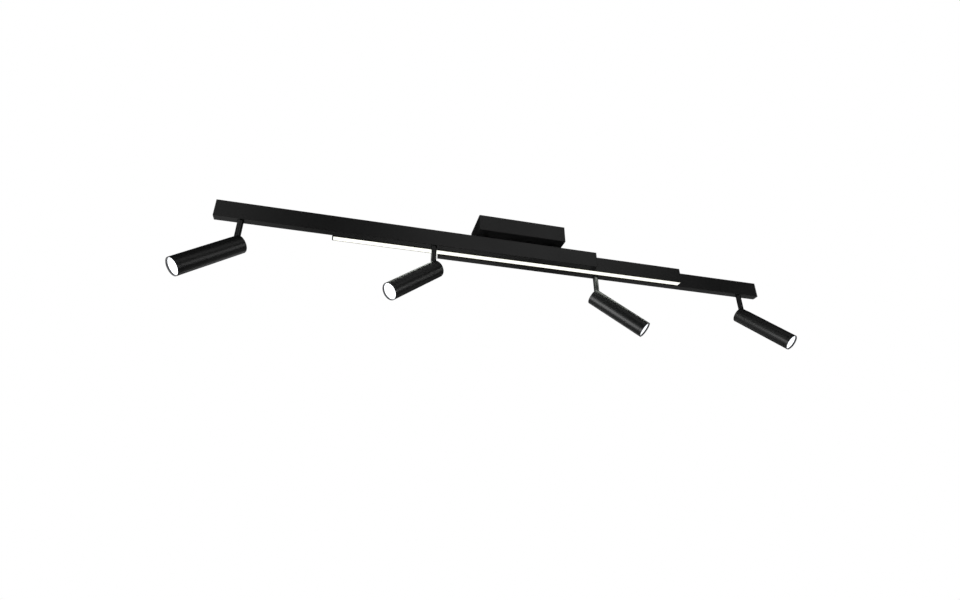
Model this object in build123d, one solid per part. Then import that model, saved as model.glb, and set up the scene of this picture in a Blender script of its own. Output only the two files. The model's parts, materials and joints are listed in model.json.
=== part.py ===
from build123d import *
import math
import os

# Ceiling fixture with three parallel bars, a lit middle bar and four spotlights on swivelling stems.
# Frame: origin at the centre of the canopy on the ceiling plane, +X along the bars, +Z up. Millimetres.
# The outer bars are drawn pulled fully out, and each spotlight points where it is usually aimed.

# --- driving dimensions: bars -----------------------------------------------------------------------
BAR_H = 50.0                    # height of every bar
BAR_W = 22.0                    # width of every bar
BAR_L = 1083.0                  # length of every bar over its end caps
BAR_PITCH = 25.7                # centre to centre distance of neighbouring bars
BAR_SHIFT = 302.0               # how far each outer bar is pulled out from the middle bar
BAR_WALL = 1.6                  # side walls of the extrusions
BAR_EDGE = 0.5                  # edge radius of the extrusions
CAP_T = 3.0                     # end cap thickness
CAP_PLUG_L = 8.0                # how far an end cap's plug goes into the extrusion
TOP_WALL = 2.4                  # outer bar, carries the glides
FLOOR_WALL = 2.4                # outer bar, carries the swivels
SLOT_W = 8.0                    # slot along the top of an outer bar
DECK_WALL = 2.0                 # top wall of the middle bar
WEB_Z = 14.0                    # LED web above the underside of the middle bar
WEB_T = 2.0
LED_PITCH = 16.0

# --- driving dimensions: canopy and hangers ---------------------------------------------------------
CANOPY_L = 267.0
CANOPY_W = 105.0
CANOPY_H = 51.0
CANOPY_CORNER = 1.5             # radius of the upright edges
CANOPY_RIM = 1.0                # radius of the lower edges
SHEET = 1.2                     # sheet steel of the canopy cover
HANG_GAP = 13.0                 # between the canopy's underside and the bar tops
HANGER_X = 100.0                # hanger and bridge positions, either side of the middle
PLATE_T = 2.0                   # ceiling plate
PLATE_W = 88.0
CEILING_HOLE_X = 80.0           # ceiling screw holes, either side of the middle
CEILING_HOLE_R = 2.75
CABLE_HOLE_R = 12.5
COVER_SCREW_DROP = 9.0          # cover screws below the ceiling
COVER_SCREW_R = 2.0             # M4
NIPPLE_R = 5.0                  # M10 hollow threaded tube
NIPPLE_BORE_R = 3.5
NUT_T = 5.0
NUT_FLATS = 14.0
THREAD_END = 2.0                # how far a thread stands out of its nut

# --- driving dimensions: sliding support ------------------------------------------------------------
BRIDGE_X = 24.0
BRIDGE_Y = 61.0
BRIDGE_T = 2.5
GLIDE_X = 30.0
GLIDE_Y = 14.0
GLIDE_T = 4.0
GLIDE_SCREW_R = 1.5             # M3
STOP_L = 10.0

# --- driving dimensions: stems ----------------------------------------------------------------------
STEM_R = 8.0
STEM_OUTER = 474.0              # outer stem, from the bar's middle towards its outer end
STEM_INNER = 42.0               # inner stem, from the bar's middle towards the fixture's middle
PIVOT_DROP = 77.0               # tilt pin below the underside of the bars
NECK_R = 5.0                    # threaded top of the stem
STEM_HOLE_R = 9.2
BUSH_L = 28.0
BUSH_FLANGE_T = 2.6
BUSH_RECESS = 0.8               # the bush's ring lies this far above the bar's underside
SEAT_DEPTH = 2.0                # how far the stem goes up into the bar
PIN_R = 2.5

# --- driving dimensions: heads ----------------------------------------------------------------------
HEAD_R = 24.5
HEAD_WALL = 2.0
HEAD_FRONT = 171.0              # front edge, from the pivot
HEAD_REAR = 17.0                # rear face, behind the pivot
REAR_WALL = 2.5
RING_L = 10.0                   # front trim ring
RING_TAIL_L = 7.0               # its tail inside the tube
SEAM = 0.35                     # chamfer either side of the seam between tube and ring
LENS_RECESS = 4.5               # lens behind the front edge
LENS_T = 3.0
SINK_START = 10.0
SINK_END = 95.0
SINK_CORE_R = 9.0
FIN_COUNT = 7
FIN_PITCH = 10.0
FIN_GAP = 6.5
YOKE_REAR = -12.0

# --- gaps -------------------------------------------------------------------------------------------
SLIP = 0.3                      # between sliding or turning faces
FIT = 0.05                      # of a turning fit, per side
SNUG = 0.1                      # of a fixed fit, per side
OVER = 1.0                      # how far a cutting shape runs past what it cuts

# name, bar, direction in which it points seen from above (degrees from +X), degrees below horizontal
SPOTS = [
    ("spot_1", "front", -149.4, 41.4),
    ("spot_2", "front", -155.0, 39.5),
    ("spot_3", "back", -29.6, 42.7),
    ("spot_4", "back", -55.2, 45.5),
]
OUTER_SPOTS = ("spot_1", "spot_4")

# each outer bar: the way it is pulled out along X, and its side in Y
SIDES = {"front": (-1, -1), "back": (1, 1)}

# --- derived places ---------------------------------------------------------------------------------
BAR_TOP = -(CANOPY_H + HANG_GAP)
BAR_BOTTOM = BAR_TOP - BAR_H
PIVOT_Z = BAR_BOTTOM - PIVOT_DROP
PROFILE_L = BAR_L - 2 * CAP_T
INNER_W = BAR_W - 2 * BAR_WALL
CANOPY_FLOOR = SHEET - CANOPY_H
LOCK_NUT_Z = PIVOT_DROP + FLOOR_WALL + BUSH_FLANGE_T + SLIP      # above the pivot
NECK_TOP = LOCK_NUT_Z + NUT_T + THREAD_END
STEM_SLOT_R = STEM_R + 0.5      # half width of the head's slot that the stem passes through
HEAD_IN_R = HEAD_R - HEAD_WALL
RING_START = HEAD_FRONT - RING_L
LENS_FRONT = HEAD_FRONT - LENS_RECESS


# --- basic shapes -----------------------------------------------------------------------------------
def box(size, low_z, x=0.0, y=0.0):
    """A block centred on x, y with its underside at low_z."""
    return Pos(x, y, low_z) * Box(*size, align=(Align.CENTER, Align.CENTER, Align.MIN))


def rod(radius, low_z, high_z, x=0.0, y=0.0):
    """A vertical cylinder between two heights."""
    return Pos(x, y, low_z) * Cylinder(radius, high_z - low_z, align=(Align.CENTER, Align.CENTER, Align.MIN))


def rod_x(radius, low_x, high_x):
    """A cylinder on the X axis between two places."""
    return Pos(low_x, 0, 0) * Rot(0, 90, 0) * rod(radius, 0, high_x - low_x)


def rod_y(radius, half_length):
    """A cylinder on the Y axis, centred."""
    return Rot(90, 0, 0) * Cylinder(radius, 2 * half_length)


def cone_x(low_r, high_r, low_x, high_x):
    """A cone on the X axis between two places."""
    shape = Cone(low_r, high_r, high_x - low_x, align=(Align.CENTER, Align.CENTER, Align.MIN))
    return Pos(low_x, 0, 0) * Rot(0, 90, 0) * shape


def hex_nut(low_z, x=0.0, y=0.0, bore=NIPPLE_R + FIT):
    """A plain hexagon nut with its underside at low_z."""
    outline = RegularPolygon(NUT_FLATS / 2, 6, major_radius=False)
    nut = Pos(x, y, low_z) * extrude(outline, NUT_T)
    return nut - rod(bore, low_z - OVER, low_z + NUT_T + OVER, x, y)


def along_bar(section, length):
    """Extrude a section drawn in Y, Z along the bars, centred on X = 0."""
    return extrude(Plane.YZ * section, length / 2, both=True)


def bar_outline():
    """Outer outline of every bar, with its underside on the section's own axis."""
    return Pos(0, BAR_H / 2) * RectangleRounded(BAR_W, BAR_H, BAR_EDGE)


def block(width, low, high):
    """A rectangle of a bar section between two heights above the underside."""
    return Pos(0, (low + high) / 2) * Rectangle(width, high - low)


# --- ceiling side -----------------------------------------------------------------------------------
def ceiling_plate():
    """Folded plate with two ceiling screw holes, four spare ones and the cable hole."""
    inner_l = CANOPY_L - 2 * SHEET - 2 * SLIP
    plate = box((inner_l, PLATE_W, PLATE_T), -PLATE_T)
    flange_h = 2 * COVER_SCREW_DROP
    for side in (-1, 1):
        flange_x = side * (inner_l - PLATE_T) / 2
        plate += box((PLATE_T, PLATE_W / 2, flange_h), -flange_h, flange_x)
        plate -= rod(CEILING_HOLE_R, -PLATE_T - OVER, OVER, side * CEILING_HOLE_X)
        for y in (-PLATE_W / 3, PLATE_W / 3):
            plate -= rod(CEILING_HOLE_R, -PLATE_T - OVER, OVER, side * CEILING_HOLE_X / 2, y)
    plate -= rod(CABLE_HOLE_R, -PLATE_T - OVER, OVER)
    plate -= Pos(0, 0, -COVER_SCREW_DROP) * rod_x(COVER_SCREW_R + FIT, -CANOPY_L, CANOPY_L)
    return plate


def canopy_cover():
    """Open-topped sheet steel box with holes for the nipples and the cover screws."""
    outer = box((CANOPY_L, CANOPY_W, CANOPY_H), -CANOPY_H)
    outer = fillet(outer.edges().filter_by(Axis.Z), CANOPY_CORNER)
    outer = fillet(outer.faces().sort_by(Axis.Z)[0].edges(), CANOPY_RIM)
    inner = box((CANOPY_L - 2 * SHEET, CANOPY_W - 2 * SHEET, CANOPY_H), CANOPY_FLOOR)
    cover = outer - inner
    for side in (-1, 1):
        cover -= rod(NIPPLE_R + SNUG, -CANOPY_H - OVER, 0, side * HANGER_X)
    cover -= Pos(0, 0, -COVER_SCREW_DROP) * rod_x(COVER_SCREW_R + SLIP, -CANOPY_L, CANOPY_L)
    return cover


def cover_screws():
    """One slotted pan head screw through each end of the cover into the plate's flange."""
    head_r = 3.6
    head_t = 2.0
    shank_l = 9.0
    slot_w = 0.9
    face = CANOPY_L / 2
    head = rod_x(head_r, face, face + head_t)
    head = fillet(head.faces().sort_by(Axis.X)[-1].edges(), 0.8)
    head -= Pos(face + head_t, 0, 0) * Box(0.8 * head_t, 3 * head_r, slot_w)
    screw = Pos(0, 0, -COVER_SCREW_DROP) * (head + rod_x(COVER_SCREW_R, face - shank_l, face))
    return Compound([Rot(0, 0, turn) * screw for turn in (180, 0)])


def led_driver():
    """The power supply on the cover's floor, with its two mounting ears."""
    y = 30.0
    case = box((150, 36, 26), CANOPY_FLOOR, 0, y)
    case = fillet(case.edges().filter_by(Axis.Z), 3)
    ears = box((170, 14, 3), CANOPY_FLOOR, 0, y)
    for x in (-80, 80):
        ears -= rod(2, CANOPY_FLOOR - OVER, CANOPY_FLOOR + 3 + OVER, x, y)
    return case + ears


def terminal_block():
    """Three-way mains terminal on the cover's floor: screw wells above, wire holes in front."""
    x = 30.0
    y = -28.0
    width = 18.0
    height = 15.0
    way_pitch = 10.5
    hole = 5.0
    body = box((34, width, height), CANOPY_FLOOR, x, y)
    for way in (-1, 0, 1):
        way_x = x + way_pitch * way
        body -= rod(2.6, CANOPY_FLOOR + 6, CANOPY_FLOOR + height + OVER, way_x, y - 4)
        body -= Pos(way_x, y - width / 2, CANOPY_FLOOR + hole) * Box(hole, 12, hole)
    return body


def hanger_nipples():
    """Hollow threaded tubes that hold the bars and lead the wires down."""
    low = BAR_TOP - DECK_WALL - NUT_T - THREAD_END
    high = CANOPY_FLOOR + NUT_T + THREAD_END
    tubes = []
    for x in (-HANGER_X, HANGER_X):
        tubes.append(rod(NIPPLE_R, low, high, x) - rod(NIPPLE_BORE_R, low - OVER, high + OVER, x))
    return Compound(tubes)


def hanger_sleeves():
    """The short round spacers between canopy and bars."""
    sleeve_r = 8.0
    low = BAR_TOP + SLIP + BRIDGE_T
    sleeves = []
    for x in (-HANGER_X, HANGER_X):
        sleeve = rod(sleeve_r, low, -CANOPY_H, x)
        sleeve = chamfer(sleeve.edges().filter_by(GeomType.CIRCLE), 0.4)
        sleeves.append(sleeve - rod(NIPPLE_R + SNUG, low - OVER, 0, x))
    return Compound(sleeves)


def hanger_nuts():
    """A nut on the canopy's floor and one under the middle bar's deck, on each nipple."""
    nuts = []
    for x in (-HANGER_X, HANGER_X):
        nuts.append(hex_nut(CANOPY_FLOOR, x))
        nuts.append(hex_nut(BAR_TOP - DECK_WALL - NUT_T, x))
    return Compound(nuts)


# --- sliding support --------------------------------------------------------------------------------
def slide_bridges():
    """Steel plates across the bar tops. A raised middle seats them on the middle bar only."""
    pad_inset = 4.0
    plates = []
    for x in (-HANGER_X, HANGER_X):
        plate = box((BRIDGE_X, BRIDGE_Y, BRIDGE_T), BAR_TOP + SLIP, x)
        plate = fillet(plate.edges().filter_by(Axis.Z), 2)
        plate += box((BRIDGE_X - pad_inset, BAR_W - pad_inset, SLIP), BAR_TOP, x)
        plate -= rod(NIPPLE_R + SNUG, BAR_TOP - OVER, 0, x)
        for y in (-BAR_PITCH, BAR_PITCH):
            plate -= rod(GLIDE_SCREW_R + SNUG, BAR_TOP - OVER, 0, x, y)
        plates.append(plate)
    return Compound(plates)


def glide_shoes():
    """T-shaped glides that hang in the slots of the outer bars."""
    flange_top = BAR_TOP - TOP_WALL - SLIP
    neck_h = BAR_TOP + SLIP - flange_top
    shoes = []
    for x in (-HANGER_X, HANGER_X):
        for y in (-BAR_PITCH, BAR_PITCH):
            shoe = box((GLIDE_X, GLIDE_Y, GLIDE_T), flange_top - GLIDE_T, x, y)
            shoe += box((GLIDE_X, SLOT_W - 2 * SLIP, neck_h), flange_top, x, y)
            shoe -= rod(GLIDE_SCREW_R + FIT, flange_top - GLIDE_T - OVER, 0, x, y)
            shoes.append(shoe)
    return Compound(shoes)


def glide_screws():
    """Slotted screws that hold the glides under the bridges."""
    head_r = 2.8
    head_t = 1.8
    low = BAR_TOP - TOP_WALL - SLIP - GLIDE_T
    seat = BAR_TOP + SLIP + BRIDGE_T
    screws = []
    for x in (-HANGER_X, HANGER_X):
        for y in (-BAR_PITCH, BAR_PITCH):
            head = rod(head_r, seat, seat + head_t, x, y)
            head = fillet(head.faces().sort_by(Axis.Z)[-1].edges(), 0.6)
            head -= Pos(x, y, seat + head_t) * Box(1.4 * head_r, 0.8, 1.6)
            screws.append(head + rod(GLIDE_SCREW_R, low, seat, x, y))
    return Compound(screws)


def slide_stops(bar):
    """Two blocks clamped in the top slot, which end the travel of an outer bar."""
    way, side = SIDES[bar]
    y = side * BAR_PITCH
    top = BAR_TOP - TOP_WALL
    glide_end = HANGER_X + GLIDE_X / 2
    met_when_out = -way * (BAR_SHIFT + glide_end)
    met_when_in = way * glide_end
    blocks = []
    for face in (met_when_out, met_when_in):
        outward = math.copysign(1, face)
        x = way * BAR_SHIFT + face + outward * (SLIP + STOP_L / 2)
        stop = box((STOP_L, GLIDE_Y, GLIDE_T), top - GLIDE_T, x, y)
        stop += box((STOP_L, SLOT_W - 2 * SNUG, TOP_WALL), top, x, y)
        blocks.append(stop)
    return Compound(blocks)


# --- bars -------------------------------------------------------------------------------------------
def at_bar(bar, shape):
    """Move a shape drawn about a bar's own middle to that bar."""
    if bar == "middle":
        return Pos(0, 0, BAR_BOTTOM) * shape
    way, side = SIDES[bar]
    return Pos(way * BAR_SHIFT, side * BAR_PITCH, BAR_BOTTOM) * shape


def stem_places(bar):
    """Where the two stems are along an outer bar, from its own middle: outer one, inner one."""
    way, _ = SIDES[bar]
    return (way * STEM_OUTER, -way * STEM_INNER)


def middle_bar():
    """Extrusion closed at the top, with a web that carries the LEDs and an open underside."""
    section = bar_outline()
    section -= block(INNER_W, WEB_Z + WEB_T, BAR_H - DECK_WALL)
    section -= block(INNER_W, -OVER, WEB_Z)
    bar = along_bar(section, PROFILE_L)
    for x in (-HANGER_X, HANGER_X):
        bar -= rod(NIPPLE_R + SNUG, WEB_Z + WEB_T + OVER, BAR_H + OVER, x)
    return at_bar("middle", bar)


def outer_bar(bar):
    """Closed extrusion with a slot along its top and two round stem holes in its floor."""
    section = bar_outline()
    section -= block(INNER_W, FLOOR_WALL, BAR_H - TOP_WALL)
    section -= block(SLOT_W, BAR_H - TOP_WALL - OVER, BAR_H + OVER)
    profile = along_bar(section, PROFILE_L)
    for x in stem_places(bar):
        profile -= rod(STEM_HOLE_R, -OVER, FLOOR_WALL + OVER, x)
    return at_bar(bar, profile)


def end_caps(bar):
    """A cap for each end, with a hollow plug that pushes into the extrusion."""
    plug_wall = 2.0
    middle = bar == "middle"
    low = WEB_Z + WEB_T if middle else FLOOR_WALL
    high = BAR_H - (DECK_WALL if middle else TOP_WALL)
    caps = []
    for side in (-1, 1):
        plate = along_bar(bar_outline(), CAP_T)
        plate = fillet(plate.edges().filter_by(Axis.Y), BAR_EDGE)
        plug = along_bar(block(INNER_W - 2 * SNUG, low + SNUG, high - SNUG), CAP_PLUG_L)
        inside = block(INNER_W - 2 * plug_wall, low + plug_wall, high - plug_wall)
        hollow = along_bar(inside, CAP_PLUG_L + OVER)
        cap = Pos(side * (BAR_L - CAP_T) / 2, 0, 0) * plate
        cap += Pos(side * (PROFILE_L - CAP_PLUG_L) / 2, 0, 0) * (plug - hollow)
        caps.append(at_bar(bar, cap))
    return Compound(caps)


def diffuser():
    """Opal cover of the middle bar's underside: a flat strip with two legs between the walls."""
    width = INNER_W - 2 * SNUG
    leg_t = 1.5
    face_low = 0.2
    face_t = 2.0
    leg_top = 8.0
    section = block(width, face_low, leg_top)
    section -= block(width - 2 * leg_t, face_low + face_t, leg_top + OVER)
    return at_bar("middle", along_bar(section, PROFILE_L - 1.0))


def led_strip():
    """LED board under the web of the middle bar, with a row of LED packages."""
    board_w = 12.0
    board_t = 1.2
    board_l = PROFILE_L - 10.0
    package = (2.8, 3.5, 0.8)
    package_low = WEB_Z - board_t - package[2]
    pieces = [along_bar(block(board_w, WEB_Z - board_t, WEB_Z), board_l)]
    count = int(board_l // LED_PITCH)
    for i in range(count):
        pieces.append(box(package, package_low, (i - (count - 1) / 2) * LED_PITCH))
    return at_bar("middle", Compound(pieces))


def swivel_bushes(bar):
    """Bearings of the stems: a flange inside the bar and a ring in the stem hole."""
    bushes = []
    for x in stem_places(bar):
        bush = box((BUSH_L, INNER_W - 2 * SNUG, BUSH_FLANGE_T), FLOOR_WALL, x)
        bush += rod(STEM_HOLE_R - SNUG, BUSH_RECESS, FLOOR_WALL, x)
        bush -= rod(STEM_R + SLIP, -OVER, SEAT_DEPTH + SLIP, x)
        bush -= rod(NECK_R + FIT, 0, FLOOR_WALL + BUSH_FLANGE_T + OVER, x)
        bushes.append(at_bar(bar, bush))
    return Compound(bushes)


# --- spotlights -------------------------------------------------------------------------------------
# A spotlight is drawn with its pivot at the origin and its head pointing along +X, then turned.
def stem_tube():
    """Round stem with a threaded neck, a ball end, a wire bore and a cross hole for the pivot pin."""
    wire_bore_r = 3.2
    shoulder = PIVOT_DROP + SEAT_DEPTH
    stem = rod(STEM_R, 0, shoulder)
    stem = fillet(stem.faces().sort_by(Axis.Z)[-1].edges(), 0.6)
    stem += Sphere(STEM_R)
    stem += rod(NECK_R, shoulder, NECK_TOP)
    stem -= rod(wire_bore_r, 2 * PIN_R + 6, NECK_TOP + OVER)
    stem -= rod_y(PIN_R + FIT, STEM_R + OVER)
    return stem


def lock_nut():
    """Flanged nut on the neck, which holds the stem in its bush."""
    washer_r = 8.4
    washer_t = 1.2
    nut = hex_nut(LOCK_NUT_Z, bore=NECK_R + FIT)
    washer = rod(washer_r, LOCK_NUT_Z, LOCK_NUT_Z + washer_t)
    washer -= rod(NECK_R + FIT, LOCK_NUT_Z - OVER, LOCK_NUT_Z + washer_t + OVER)
    return nut + washer


def housing():
    """Tube of the head, closed at the rear, with a slot for the stem from the rear face over the top."""
    slot_l = HEAD_REAR + 2 * OVER
    tube = rod_x(HEAD_R, -HEAD_REAR, RING_START)
    tube = fillet(tube.faces().sort_by(Axis.X)[0].edges(), 1.0)
    tube = chamfer(tube.faces().sort_by(Axis.X)[-1].edges(), SEAM)
    tube -= rod_x(HEAD_IN_R, REAR_WALL - HEAD_REAR, RING_START + OVER)
    tube -= rod_x(STEM_SLOT_R, -HEAD_REAR - OVER, 0)
    tube -= rod(STEM_SLOT_R, 0, HEAD_R + OVER)
    tube -= box((slot_l, 2 * STEM_SLOT_R, HEAD_R + OVER), 0, -slot_l / 2)
    return tube


def pivot_pin():
    """Plain pin across the yoke."""
    return rod_y(PIN_R, HEAD_IN_R - 2)


def heat_sink():
    """Finned aluminium body with a yoke that holds the pivot pin either side of the stem."""
    radius = HEAD_IN_R - 0.25
    wire_bore_r = 4.0
    sink = rod_x(radius, YOKE_REAR, SINK_END)
    gap = SINK_START - YOKE_REAR + OVER
    sink -= Pos(SINK_START - gap / 2, 0, 0) * Box(gap, 2 * (STEM_SLOT_R + SLIP), 2 * HEAD_R)
    for i in range(FIN_COUNT):
        start = SINK_START + FIN_PITCH * (i + 1)
        end = start + FIN_GAP
        sink -= rod_x(HEAD_R, start, end) - rod_x(SINK_CORE_R, start - OVER, end + OVER)
    sink -= rod_x(wire_bore_r, 0, SINK_END + OVER)
    sink -= rod_y(PIN_R + 0.02, HEAD_R)
    return sink


def led_module():
    """Chip-on-board LED: a round board with a low dome."""
    board_r = 12.0
    board_t = 1.6
    dome_r = 7.0
    dome_t = 1.0
    board = rod_x(board_r, SINK_END, SINK_END + board_t)
    return board + rod_x(dome_r, SINK_END + board_t, SINK_END + board_t + dome_t)


def reflector():
    """Conical reflector from the LED board to just behind the lens."""
    throat_r = 9.0
    mouth_r = 20.6
    wall = 0.9
    start = SINK_END + 1.7
    end = LENS_FRONT - LENS_T - 0.5
    return cone_x(throat_r, mouth_r, start, end) - cone_x(throat_r - wall, mouth_r - wall, start, end)


def lens():
    """Flat front lens with a softened front edge."""
    disc = rod_x(HEAD_IN_R - SNUG, LENS_FRONT - LENS_T, LENS_FRONT)
    return fillet(disc.faces().sort_by(Axis.X)[-1].edges(), 0.5)


def trim_ring():
    """Front ring with a tail that plugs into the tube and a shelf that carries the lens."""
    tail_start = RING_START - RING_TAIL_L
    shelf_r = HEAD_IN_R - 1.2
    ring = rod_x(HEAD_R, RING_START, HEAD_FRONT)
    ring = chamfer(ring.faces().sort_by(Axis.X)[0].edges(), SEAM)
    ring = fillet(ring.faces().sort_by(Axis.X)[-1].edges(), 0.5)
    ring += rod_x(HEAD_IN_R - SNUG, tail_start, RING_START + OVER)
    ring -= rod_x(shelf_r, tail_start - OVER, HEAD_FRONT + OVER)
    ring -= rod_x(HEAD_IN_R, LENS_FRONT - LENS_T, HEAD_FRONT + OVER)
    return ring


STEM_PIECES = {"stem": stem_tube, "lock_nut": lock_nut}
HEAD_PIECES = {
    "housing": housing,
    "pivot_pin": pivot_pin,
    "heat_sink": heat_sink,
    "led_module": led_module,
    "reflector": reflector,
    "lens": lens,
    "trim_ring": trim_ring,
}


def spot_place(spot, bar):
    """Pivot of a spotlight, at the outer or the inner stem of its bar."""
    way, side = SIDES[bar]
    outer, inner = stem_places(bar)
    local = outer if spot in OUTER_SPOTS else inner
    return Pos(way * BAR_SHIFT + local, side * BAR_PITCH, PIVOT_Z)


# --- output -----------------------------------------------------------------------------------------
SINGLE_PIECES = {
    "ceiling_plate": ceiling_plate,
    "canopy_cover": canopy_cover,
    "cover_screws": cover_screws,
    "led_driver": led_driver,
    "terminal_block": terminal_block,
    "hanger_nipples": hanger_nipples,
    "hanger_sleeves": hanger_sleeves,
    "hanger_nuts": hanger_nuts,
    "slide_bridges": slide_bridges,
    "glide_shoes": glide_shoes,
    "glide_screws": glide_screws,
    "middle_bar": middle_bar,
    "diffuser": diffuser,
    "led_strip": led_strip,
}


def write(name, shape):
    export_step(shape, f"parts/{name}.step")


def write_spots():
    """Each spotlight's pieces are made once, then placed, turned and tilted for each of the four."""
    stems = {piece: make() for piece, make in STEM_PIECES.items()}
    heads = {piece: make() for piece, make in HEAD_PIECES.items()}
    for spot, bar, azimuth, tilt in SPOTS:
        place = spot_place(spot, bar) * Rot(0, 0, azimuth)
        for piece, shape in stems.items():
            write(f"{spot}_{piece}", place * shape)
        for piece, shape in heads.items():
            write(f"{spot}_{piece}", place * Rot(0, tilt, 0) * shape)


def main():
    os.makedirs("parts", exist_ok=True)
    for name, make in SINGLE_PIECES.items():
        write(name, make())
    write("middle_bar_caps", end_caps("middle"))
    for bar in SIDES:
        write(f"{bar}_bar", outer_bar(bar))
        write(f"{bar}_bar_caps", end_caps(bar))
        write(f"{bar}_bar_bushes", swivel_bushes(bar))
        write(f"{bar}_bar_stops", slide_stops(bar))
    write_spots()


main()
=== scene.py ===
import json
import math

import bmesh
import bpy
from mathutils import Matrix, Vector

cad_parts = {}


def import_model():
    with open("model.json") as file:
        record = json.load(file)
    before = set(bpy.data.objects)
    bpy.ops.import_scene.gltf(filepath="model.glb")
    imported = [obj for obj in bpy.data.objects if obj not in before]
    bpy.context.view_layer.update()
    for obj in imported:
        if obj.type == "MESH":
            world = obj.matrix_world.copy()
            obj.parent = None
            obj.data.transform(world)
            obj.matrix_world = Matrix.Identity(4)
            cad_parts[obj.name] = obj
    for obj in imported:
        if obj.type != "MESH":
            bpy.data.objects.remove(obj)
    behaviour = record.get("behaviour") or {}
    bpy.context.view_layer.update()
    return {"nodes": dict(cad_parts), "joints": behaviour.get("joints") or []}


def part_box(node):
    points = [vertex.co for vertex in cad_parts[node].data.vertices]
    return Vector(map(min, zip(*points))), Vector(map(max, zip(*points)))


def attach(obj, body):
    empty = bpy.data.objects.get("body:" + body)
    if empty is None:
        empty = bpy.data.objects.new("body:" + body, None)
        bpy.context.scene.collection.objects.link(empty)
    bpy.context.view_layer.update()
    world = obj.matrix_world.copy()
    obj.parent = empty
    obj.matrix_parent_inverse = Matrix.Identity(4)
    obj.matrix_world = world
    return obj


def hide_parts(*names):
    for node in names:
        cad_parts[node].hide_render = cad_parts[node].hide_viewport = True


# Ceiling fixture with three black bars, a lit middle bar and four spotlights. Metres, origin on the ceiling.
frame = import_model()
NODES = frame["nodes"]
JOINTS = {joint["name"]: joint for joint in frame["joints"]}
SPOTS = ("spot_1", "spot_2", "spot_3", "spot_4")

# --- camera -----------------------------------------------------------------------------------------
CAMERA_AT = (-0.4729, -1.3717, -0.9554)
CAMERA_YAW = 14.475             # degrees from +Y towards +X
CAMERA_PITCH = 26.39            # degrees above the horizon
CAMERA_LENS = 20.99             # mm
CAMERA_SENSOR = 36.0            # mm
CAMERA_REACH = 50.0

# --- studio -----------------------------------------------------------------------------------------
FLOOR_Z = -2.45
FLOOR_HALF = 14.0
FLOOR_GLOW = 0.55
ROOM_GREY = 0.02                # what surrounds the fixture, as its surfaces see it

BOX_AIM = (0.0, 0.0, -0.15)     # the point that every softbox faces
BOX_DISTANCE = 2.5
# name, azimuth from +Y towards +X, elevation, width, height, radiance
SOFTBOXES = [
    ("box_right", 115, -5, 1.0, 1.0, 3.0),         # the shine along the two left-hand heads
    ("box_left", -100, -20, 1.5, 1.5, 6.0),        # the shine along the two right-hand heads
    ("box_behind", 160, 35, 2.0, 1.0, 0.8),        # the front faces of bars and canopy
    ("box_left_high", -135, 30, 1.0, 1.0, 0.8),    # the front bar's left end
    ("box_far_low", -40, -25, 1.5, 1.0, 0.5),      # the front bar's underside
    ("box_far_right", 50, -20, 2.0, 1.0, 0.3),     # the back bar's underside
    ("box_far", 5, -10, 1.0, 1.0, 1.0),            # the heads' lower edges
    ("box_top", 40, 70, 1.5, 1.5, 2.0),            # what faces up
]

# --- the fixture's own light ------------------------------------------------------------------------
STRIP_GLOW = 1.15               # brightness of the strip's face and of the lenses themselves
LENS_GLOW = 1.25
LAMP_GAP = 0.0003               # the lamps that light other things are this far in front of the lit faces
STRIP_LAMP = 4.5
STRIP_LAMP_COLOR = (0.93, 1.0, 0.90)
HEAD_LAMP = 2.0
HEAD_LAMP_COLOR = (0.88, 0.94, 1.0)
HEAD_LAMP_WIDTH = 0.042

# --- finishes: shared numbers -----------------------------------------------------------------------
NOISE_RANGE = (0.3, 0.7)        # where most of a noise texture's values lie
PEEL_SCALE = 1500.0             # grains of the powder coat per metre
PEEL_DEPTH = 0.000005
PEEL_BUMP = 0.1
PEEL_GLOSS = 0.015              # how far a grain's roughness strays from the average
CLOUD_SCALE = 9.0               # slow changes of gloss and tone
SOCKETS = {
    "base_color": "Base Color",
    "metallic": "Metallic",
    "roughness": "Roughness",
    "specular": "Specular IOR Level",
    "anisotropic": "Anisotropic",
    "emission": "Emission Color",
    "strength": "Emission Strength",
    "normal": "Normal",
}


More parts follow.
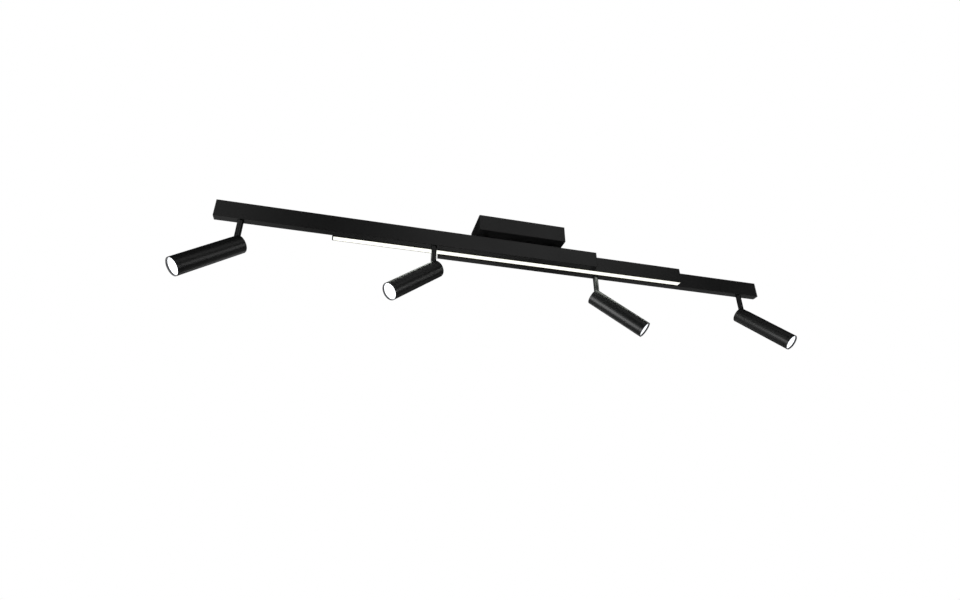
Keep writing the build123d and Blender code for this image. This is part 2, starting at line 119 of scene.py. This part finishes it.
# --- node helpers -----------------------------------------------------------------------------------
class Finish:
    """A material with its Principled shader, and short calls that feed its sockets."""

    def __init__(self, name):
        self.material = bpy.data.materials.new(name)
        self.material.use_nodes = True
        self.tree = self.material.node_tree
        self.shader = self.tree.nodes["Principled BSDF"]
        self.coords = self.tree.nodes.new("ShaderNodeTexCoord").outputs["Object"]

    def plain(self, **values):
        """Set the shader's own sockets: base_color=..., roughness=... and so on."""
        for key, value in values.items():
            self.shader.inputs[SOCKETS[key]].default_value = value
        return self

    def link(self, output, key):
        """Feed one of the shader's sockets from another node."""
        self.tree.links.new(output, self.shader.inputs[SOCKETS[key]])

    def node(self, kind, inputs=None, **settings):
        """A new node. Each of its inputs is given a value or another node's output."""
        made = self.tree.nodes.new(kind)
        for key, value in settings.items():
            setattr(made, key, value)
        for key, value in (inputs or {}).items():
            if isinstance(value, bpy.types.NodeSocket):
                self.tree.links.new(value, made.inputs[key])
            else:
                made.inputs[key].default_value = value
        return made

    def noise(self, scale, detail=2.0, stretch=(1, 1, 1)):
        """Noise of about scale features per metre, drawn out along an axis where stretch is below 1."""
        place = self.node("ShaderNodeMapping", {"Vector": self.coords, "Scale": stretch})
        texture = self.node("ShaderNodeTexNoise",
                            {"Vector": place.outputs[0], "Scale": scale, "Detail": detail})
        return texture.outputs["Fac"]

    def spread(self, value, low, high, at=NOISE_RANGE):
        """Map a texture's usual range to low..high."""
        made = self.node("ShaderNodeMapRange", {
            "Value": value, "From Min": at[0], "From Max": at[1], "To Min": low, "To Max": high})
        return made.outputs["Result"]

    def blend(self, factor, first, second):
        """A colour between first and second, each of them a colour or a node's output."""
        made = self.node("ShaderNodeMix", data_type="RGBA")
        factor_socket, first_socket, second_socket = (made.inputs[i] for i in (0, 6, 7))
        self.tree.links.new(factor, factor_socket)
        for socket, value in ((first_socket, first), (second_socket, second)):
            if isinstance(value, bpy.types.NodeSocket):
                self.tree.links.new(value, socket)
            else:
                socket.default_value = (*value, 1.0)
        return made.outputs[2]

    def mottle(self, texture, first, second, key="base_color"):
        """Feed a socket with a colour that wanders between two."""
        self.link(self.blend(self.spread(texture, 0.0, 1.0), first, second), key)

    def vary(self, texture, low, high, key="roughness"):
        """Feed a socket with a value that wanders between two."""
        self.link(self.spread(texture, low, high), key)

    def below(self, height):
        """1 where a point is under a height, 0 above it."""
        place = self.node("ShaderNodeSeparateXYZ", {"Vector": self.coords})
        test = self.node("ShaderNodeMath", {0: place.outputs["Z"], 1: height}, operation="LESS_THAN")
        return test.outputs[0]

    def bump(self, height, depth, strength=1.0):
        """Raise and lower the surface by a texture."""
        made = self.node("ShaderNodeBump", {"Height": height, "Distance": depth, "Strength": strength})
        self.link(made.outputs["Normal"], "normal")


# --- finishes ---------------------------------------------------------------------------------------
def powder_coat(name, dark, light, smooth, rough, stretch=(1, 1, 1)):
    """Satin black powder coat: a very fine orange peel and a slow change of gloss."""
    made = Finish(name).plain(metallic=0.0, specular=0.5)
    peel = made.noise(PEEL_SCALE, 3.0, stretch)
    slow = made.noise(CLOUD_SCALE, 2.0, stretch)
    made.mottle(slow, dark, light)
    gloss = made.spread(slow, smooth, rough)
    fine = made.spread(peel, -PEEL_GLOSS, PEEL_GLOSS)
    total = made.node("ShaderNodeMath", {0: gloss, 1: fine}, operation="ADD")
    made.link(total.outputs[0], "roughness")
    made.bump(peel, PEEL_DEPTH, PEEL_BUMP)
    return made.material


def bar_coat():
    """Coat of the three bars and their caps, drawn out a little along them."""
    return powder_coat("bar_coat", (0.0060, 0.0062, 0.0062), (0.0085, 0.0088, 0.0088),
                       0.36, 0.42, stretch=(0.6, 1, 1))


def head_coat():
    """Coat of the spotlights' tubes and trim rings."""
    return powder_coat("head_coat", (0.0075, 0.0080, 0.0080), (0.0105, 0.0110, 0.0110), 0.37, 0.42)


def canopy_coat():
    """Coat of the canopy, a little duller than the bars."""
    return powder_coat("canopy_coat", (0.0065, 0.0067, 0.0066), (0.0090, 0.0092, 0.0090), 0.40, 0.46)


def stem_coat():
    """Coat of the stems and hanger sleeves, a little glossier than the bars."""
    return powder_coat("stem_coat", (0.0075, 0.0080, 0.0080), (0.0100, 0.0105, 0.0105), 0.34, 0.40)


def zinc():
    """Bright zinc plating with its faint cloudy crystals."""
    made = Finish("zinc_plating").plain(metallic=1.0)
    cells = made.node("ShaderNodeTexVoronoi", {"Vector": made.coords, "Scale": 420.0})
    cloud = made.noise(70.0, 4.0)
    tone = made.spread(cells.outputs["Distance"], 0.0, 1.0, at=(0.0, 0.8))
    made.link(made.blend(tone, (0.50, 0.51, 0.50), (0.66, 0.67, 0.66)), "base_color")
    made.vary(cloud, 0.28, 0.42)
    made.bump(cloud, 0.00002, 0.4)
    return made.material


def turned_steel():
    """Turned steel of the pins and nuts: fine tool lines."""
    made = Finish("turned_steel").plain(metallic=1.0, anisotropic=0.4)
    lines = made.noise(900.0, 2.0, (0.1, 0.1, 1))
    made.mottle(lines, (0.42, 0.42, 0.41), (0.58, 0.58, 0.57))
    made.vary(lines, 0.24, 0.36)
    made.bump(lines, 0.00002, 0.5)
    return made.material


def acetal():
    """Black moulded bearings and glides, slightly waxy."""
    made = Finish("black_acetal").plain(specular=0.5)
    skin = made.noise(600.0, 3.0)
    made.mottle(skin, (0.010, 0.010, 0.011), (0.016, 0.016, 0.017))
    made.vary(skin, 0.46, 0.56)
    made.bump(skin, 0.00003, 0.5)
    return made.material


def white_shell():
    """White moulded casing of the power supply and terminals, with a spark-eroded texture."""
    made = Finish("white_moulding").plain(specular=0.45)
    skin = made.noise(1100.0, 2.0)
    slow = made.noise(25.0, 2.0)
    made.mottle(slow, (0.72, 0.72, 0.69), (0.79, 0.79, 0.77))
    made.vary(skin, 0.48, 0.60)
    made.bump(skin, 0.00004, 0.6)
    return made.material


def strip_board(node):
    """White board with yellow phosphor in the LED packages, which hang below its lower face."""
    package_h = 0.0008
    phosphor_h = 0.9 * package_h
    low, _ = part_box(node)
    made = Finish("strip_board").plain(roughness=0.5)
    mask = made.noise(300.0, 2.0)
    board = made.blend(made.spread(mask, 0.0, 1.0), (0.74, 0.75, 0.74), (0.80, 0.81, 0.80))
    phosphor = made.blend(made.spread(mask, 0.0, 1.0), (0.80, 0.55, 0.10), (0.86, 0.62, 0.16))
    made.link(made.blend(made.below(low.z + phosphor_h), board, phosphor), "base_color")
    made.bump(mask, 0.00002, 0.3)
    return made.material


def chip_board():
    """A spotlight's LED with its board, in the yellow of the phosphor."""
    made = Finish("chip_board").plain(roughness=0.45)
    grain = made.noise(500.0, 3.0)
    made.mottle(grain, (0.78, 0.66, 0.30), (0.84, 0.74, 0.42))
    made.bump(grain, 0.00002, 0.3)
    return made.material


def bare_aluminium():
    """Die-cast and turned aluminium of the heat sinks."""
    made = Finish("bare_aluminium").plain(metallic=1.0)
    cast = made.noise(260.0, 4.0)
    made.mottle(cast, (0.60, 0.61, 0.62), (0.74, 0.75, 0.76))
    made.vary(cast, 0.30, 0.45)
    made.bump(cast, 0.00004, 0.5)
    return made.material


def mirror_metal():
    """Vacuum-metallised reflector."""
    made = Finish("mirror_metal").plain(metallic=1.0)
    waves = made.noise(60.0, 2.0)
    made.mottle(waves, (0.86, 0.87, 0.88), (0.92, 0.93, 0.94))
    made.vary(waves, 0.05, 0.10)
    made.bump(waves, 0.00005, 0.3)
    return made.material


def lit_opal(node):
    """Opal strip, lit from behind: whitest along its middle, warmer and dimmer beside the walls."""
    low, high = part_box(node)
    made = Finish("lit_opal").plain(roughness=0.38, strength=STRIP_GLOW)
    skin = made.noise(1400.0, 2.0)
    made.mottle(skin, (0.82, 0.82, 0.80), (0.87, 0.87, 0.85))
    place = made.node("ShaderNodeSeparateXYZ", {"Vector": made.coords})
    across = made.spread(place.outputs["Y"], -1.0, 1.0, at=(low.y, high.y))
    off_centre = made.node("ShaderNodeMath", {0: across}, operation="ABSOLUTE").outputs[0]
    edge = made.spread(off_centre, 0.0, 1.0, at=(0.55, 1.0))
    made.link(made.blend(edge, (0.95, 1.0, 0.93), (0.75, 0.70, 0.55)), "emission")
    made.bump(skin, 0.00002, 0.4)
    return made.material


def lit_lens():
    """Frosted optic with the light of the chip behind it."""
    made = Finish("lit_lens").plain(roughness=0.22, strength=LENS_GLOW)
    frost = made.noise(1800.0, 2.0)
    made.mottle(frost, (0.86, 0.88, 0.90), (0.91, 0.93, 0.95))
    made.mottle(frost, (0.90, 0.95, 1.0), (0.96, 0.98, 1.0), "emission")
    made.bump(frost, 0.00002, 0.3)
    return made.material


def floor_paint():
    """Pale matt paint that glows a little."""
    made = Finish("floor_paint").plain(roughness=0.7, specular=0.2)
    made.plain(emission=(1, 1, 1, 1), strength=FLOOR_GLOW)
    made.mottle(made.noise(1.5, 2.0), (0.58, 0.58, 0.57), (0.61, 0.61, 0.60))
    return made.material


# --- pieces finer than the CAD ----------------------------------------------------------------------
def new_piece(name, mesh, material, body, slot, *nodes):
    """Put a finished mesh into the scene, on its body, in place of its CAD nodes."""
    piece = bpy.data.objects.new(name, mesh)
    bpy.context.scene.collection.objects.link(piece)
    piece.data.materials.append(material)
    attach(piece, body)
    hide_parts(*nodes)
    return piece


def to_mesh(name, work, smooth_below):
    """Turn a bmesh into a smooth mesh whose edges stay sharp above an angle in degrees."""
    bmesh.ops.recalc_face_normals(work, faces=work.faces)
    mesh = bpy.data.meshes.new(name)
    work.to_mesh(mesh)
    work.free()
    mesh.polygons.foreach_set("use_smooth", [True] * len(mesh.polygons))
    mesh.set_sharp_from_angle(angle=math.radians(smooth_below))
    return mesh


def quarter_round(radius, start):
    """Points of a quarter round about its centre, from a direction in degrees, one every 30 degrees."""
    turns = [math.radians(start + 30 * step) for step in range(4)]
    return [(radius * math.cos(turn), radius * math.sin(turn)) for turn in turns]


def lathe(outline, segments=144):
    """Turn an outline of (along, radius) points about the local X axis. The outline ends on the axis."""
    work = bmesh.new()
    rings = []
    for along, radius in outline:
        if radius == 0:
            rings.append([work.verts.new((along, 0, 0))])
            continue
        turns = [2 * math.pi * i / segments for i in range(segments)]
        rings.append([work.verts.new((along, radius * math.cos(t), radius * math.sin(t))) for t in turns])
    for first, second in zip(rings, rings[1:]):
        for i in range(segments):
            j = (i + 1) % segments
            corners = [first[i % len(first)], first[j % len(first)],
                       second[j % len(second)], second[i % len(second)]]
            work.faces.new(list(dict.fromkeys(corners)))
    return work


def extrude(outline, start, end):
    """Draw an outline of (y, z) points out along X from start to end, and close both ends."""
    work = bmesh.new()
    ends = [[work.verts.new((x, y, z)) for y, z in outline] for x in (start, end)]
    for i in range(len(outline)):
        j = (i + 1) % len(outline)
        work.faces.new((ends[0][i], ends[0][j], ends[1][j], ends[1][i]))
    for end_face in ends:
        work.faces.new(end_face)
    return work


def head_place(spot):
    """Local axes of a spotlight: origin at its tilt pin, X along the head towards the light."""
    tilt = JOINTS[f"{spot}_tilt"]
    across = Vector(tilt["axis"])
    azimuth = math.atan2(-across.x, across.y)
    down = math.radians(-tilt["range_deg"][0])
    turned = Matrix.Rotation(azimuth, 4, "Z") @ Matrix.Rotation(down, 4, "Y")
    return Matrix.Translation(Vector(tilt["pos_m"])) @ turned


def optic(spot, material):
    """The front lens: a flat frosted disc with a rounded edge and concentric ribs on its rear."""
    node = f"{spot}_lens"
    place = head_place(spot)
    back = place.inverted()
    local = [back @ vertex.co for vertex in NODES[node].data.vertices]
    rear = min(point.x for point in local)
    front = max(point.x for point in local)
    radius = max(math.hypot(point.y, point.z) for point in local)
    edge = 0.0004
    rim = 0.0025                # width of the flat outside the ribs
    rib_pitch = 0.0012
    rib_depth = 0.0005
    rib_rise = 0.15 * rib_pitch     # a rib's steep outer side
    rib_crest = 0.95 * rib_pitch    # where its slow inner side is back at the rear face
    rib_end = radius - rim
    outline = [(front, 0)]
    outline += [(front, radius * share) for share in (0.25, 0.5, 0.75)]
    outline += [(front - edge + x, radius - edge + y) for x, y in quarter_round(edge, 0)]
    outline += [(rear + edge, radius), (rear, radius - edge), (rear, rib_end)]
    for i in range(int(rib_end // rib_pitch)):
        outer = rib_end - i * rib_pitch
        outline += [(rear + rib_depth, outer - rib_rise), (rear, outer - rib_crest)]
    outline.append((rear, 0))
    work = lathe(outline)
    work.transform(place)
    name = f"{spot}_optic"
    return new_piece(name, to_mesh(name, work, 25), material, f"{spot}_head", "lens_lit", node)


def strip_cover(material):
    """The opal cover: a flat lens with softly rounded edges and two snap legs with barbs."""
    low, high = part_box("diffuser")
    half = (high.y - low.y) / 2
    height = high.z - low.z
    wall = 0.0015
    face = 0.0020
    edge = 0.0004               # rounding along both long edges
    fillet = 0.0006             # in the corners between the face and the legs
    barb = 0.0004               # how far the barbs stand out from the legs
    barb_foot = 0.0022          # heights on a barb, down from the legs' ends
    barb_tip = 0.0016
    nose = 0.0002               # bevels at the legs' ends, outside and inside
    bevel = 0.0004
    # half of the section, from the edge of the face up the outside of a leg and down its inside
    right = [(half - edge + x, edge + y) for x, y in quarter_round(edge, -90)]
    right += [
        (half, face),
        (half - barb, face + fillet),
        (half - barb, height - barb_foot),
        (half, height - barb_tip),
        (half - barb, height - nose),
        (half - wall + nose, height),
        (half - wall, height - bevel),
        (half - wall, face + fillet),
        (half - wall - fillet, face),
    ]
    middle = (low.y + high.y) / 2
    outline = [(middle + y, low.z + z) for y, z in right]
    outline += [(middle - y, low.z + z) for y, z in reversed(right)]
    mesh = to_mesh("strip_cover", extrude(outline, low.x, high.x), 35)
    return new_piece("strip_cover", mesh, material, "ceiling_unit", "opal_lit", "diffuser")


# --- the CAD nodes' own finishes --------------------------------------------------------------------
def finish_node(node, material):
    """Give a CAD node one material."""
    NODES[node].data.materials.clear()
    NODES[node].data.materials.append(material)


def finish_frame():
    """Give every CAD node that stays in the scene its material."""
    bar = bar_coat()
    head = head_coat()
    canopy = canopy_coat()
    stem = stem_coat()
    zinc_plated = zinc()
    turned = turned_steel()
    plastic = acetal()
    white = white_shell()
    finishes = {
        "canopy_cover": canopy,
        "cover_screws": canopy,
        "hanger_sleeves": stem,
        "ceiling_plate": zinc_plated,
        "slide_bridges": zinc_plated,
        "glide_screws": zinc_plated,
        "hanger_nipples": turned,
        "hanger_nuts": turned,
        "glide_shoes": plastic,
        "led_driver": white,
        "terminal_block": white,
        "led_strip": strip_board("led_strip"),
        "middle_bar": bar,
        "middle_bar_caps": bar,
    }
    for side in ("front", "back"):
        finishes[f"{side}_bar"] = bar
        finishes[f"{side}_bar_caps"] = bar
        finishes[f"{side}_bar_bushes"] = plastic
        finishes[f"{side}_bar_stops"] = zinc_plated
    sink = bare_aluminium()
    mirror = mirror_metal()
    chip = chip_board()
    for spot in SPOTS:
        finishes[f"{spot}_stem"] = stem
        finishes[f"{spot}_lock_nut"] = turned
        finishes[f"{spot}_housing"] = head
        finishes[f"{spot}_trim_ring"] = head
        finishes[f"{spot}_pivot_pin"] = turned
        finishes[f"{spot}_heat_sink"] = sink
        finishes[f"{spot}_led_module"] = chip
        finishes[f"{spot}_reflector"] = mirror
    for node, material in finishes.items():
        finish_node(node, material)


# --- surroundings -----------------------------------------------------------------------------------
def towards(azimuth, elevation):
    """Unit vector at an azimuth from +Y towards +X and an elevation, both in degrees."""
    turn = math.radians(azimuth)
    rise = math.radians(elevation)
    return Vector((math.sin(turn) * math.cos(rise), math.cos(turn) * math.cos(rise), math.sin(rise)))


def camera():
    """The camera, in front of the fixture and below it, looking up."""
    data = bpy.data.cameras.new("camera")
    data.lens = CAMERA_LENS
    data.sensor_width = CAMERA_SENSOR
    data.clip_end = CAMERA_REACH
    made = bpy.data.objects.new("camera", data)
    made.location = CAMERA_AT
    made.rotation_euler = towards(CAMERA_YAW, CAMERA_PITCH).to_track_quat("-Z", "Y").to_euler()
    bpy.context.scene.collection.objects.link(made)
    bpy.context.scene.camera = made


def area_light(name, radiance, width, height=None):
    """A flat light of even radiance, unseen by the camera: a rectangle, or a disc if it has no height."""
    data = bpy.data.lights.new(name, "AREA")
    data.shape = "RECTANGLE" if height else "DISK"
    data.size = width
    surface = width * (height or width * math.pi / 4)
    if height:
        data.size_y = height
    data.energy = radiance * math.pi * surface
    made = bpy.data.objects.new(name, data)
    made.visible_camera = False
    bpy.context.scene.collection.objects.link(made)
    return made


def softbox(name, azimuth, elevation, width, height, radiance):
    """A studio light that faces the fixture from a direction."""
    way = towards(azimuth, elevation)
    made = area_light(name, radiance, width, height)
    made.location = Vector(BOX_AIM) + way * BOX_DISTANCE
    made.rotation_euler = way.to_track_quat("Z", "Y").to_euler()


def strip_lamp():
    """The light that leaves the middle bar's opal strip."""
    low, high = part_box("diffuser")
    middle = (low + high) / 2
    made = area_light("strip_lamp", STRIP_LAMP, high.x - low.x, high.y - low.y)
    made.data.color = STRIP_LAMP_COLOR
    made.matrix_world = Matrix.Translation((middle.x, middle.y, low.z - LAMP_GAP))


def head_lamp(spot):
    """The light that leaves a spotlight's lens. It moves with the head."""
    back = head_place(spot).inverted()
    front = max((back @ vertex.co).x for vertex in NODES[f"{spot}_trim_ring"].data.vertices) + LAMP_GAP
    aim = Matrix.Rotation(math.radians(-90), 4, "Y")
    made = area_light(f"{spot}_lamp", HEAD_LAMP, HEAD_LAMP_WIDTH)
    made.data.color = HEAD_LAMP_COLOR
    made.matrix_world = head_place(spot) @ Matrix.Translation((front, 0, 0)) @ aim
    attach(made, f"{spot}_head")


def world():
    """White to the camera, a dim even grey to everything else."""
    made = bpy.data.worlds.new("studio")
    made.use_nodes = True
    tree = made.node_tree
    tree.nodes.clear()
    path = tree.nodes.new("ShaderNodeLightPath")
    mix = tree.nodes.new("ShaderNodeMixShader")
    out = tree.nodes.new("ShaderNodeOutputWorld")
    tree.links.new(path.outputs["Is Camera Ray"], mix.inputs[0])
    for socket, level in ((mix.inputs[1], ROOM_GREY), (mix.inputs[2], 1)):
        background = tree.nodes.new("ShaderNodeBackground")
        background.inputs["Color"].default_value = (level, level, level, 1)
        tree.links.new(background.outputs[0], socket)
    tree.links.new(mix.outputs[0], out.inputs["Surface"])
    bpy.context.scene.world = made


def floor():
    """A plain pale floor far below, which only the camera sees."""
    mesh = bpy.data.meshes.new("floor")
    signs = ((-1, -1), (1, -1), (1, 1), (-1, 1))
    corners = [(x * FLOOR_HALF, y * FLOOR_HALF, FLOOR_Z) for x, y in signs]
    mesh.from_pydata(corners, [], [(0, 1, 2, 3)])
    mesh.materials.append(floor_paint())
    made = bpy.data.objects.new("floor", mesh)
    made.visible_diffuse = False
    made.visible_glossy = False
    bpy.context.scene.collection.objects.link(made)


def surroundings():
    """Camera, floor, background and every light."""
    bpy.context.scene.view_settings.view_transform = "Standard"
    camera()
    world()
    floor()
    for box in SOFTBOXES:
        softbox(*box)
    strip_lamp()
    for spot in SPOTS:
        head_lamp(spot)


def main():
    """Finish the CAD nodes, add the finer pieces and the studio."""
    finish_frame()
    strip_cover(lit_opal("diffuser"))
    glass = lit_lens()
    for spot in SPOTS:
        optic(spot, glass)
    surroundings()


main()
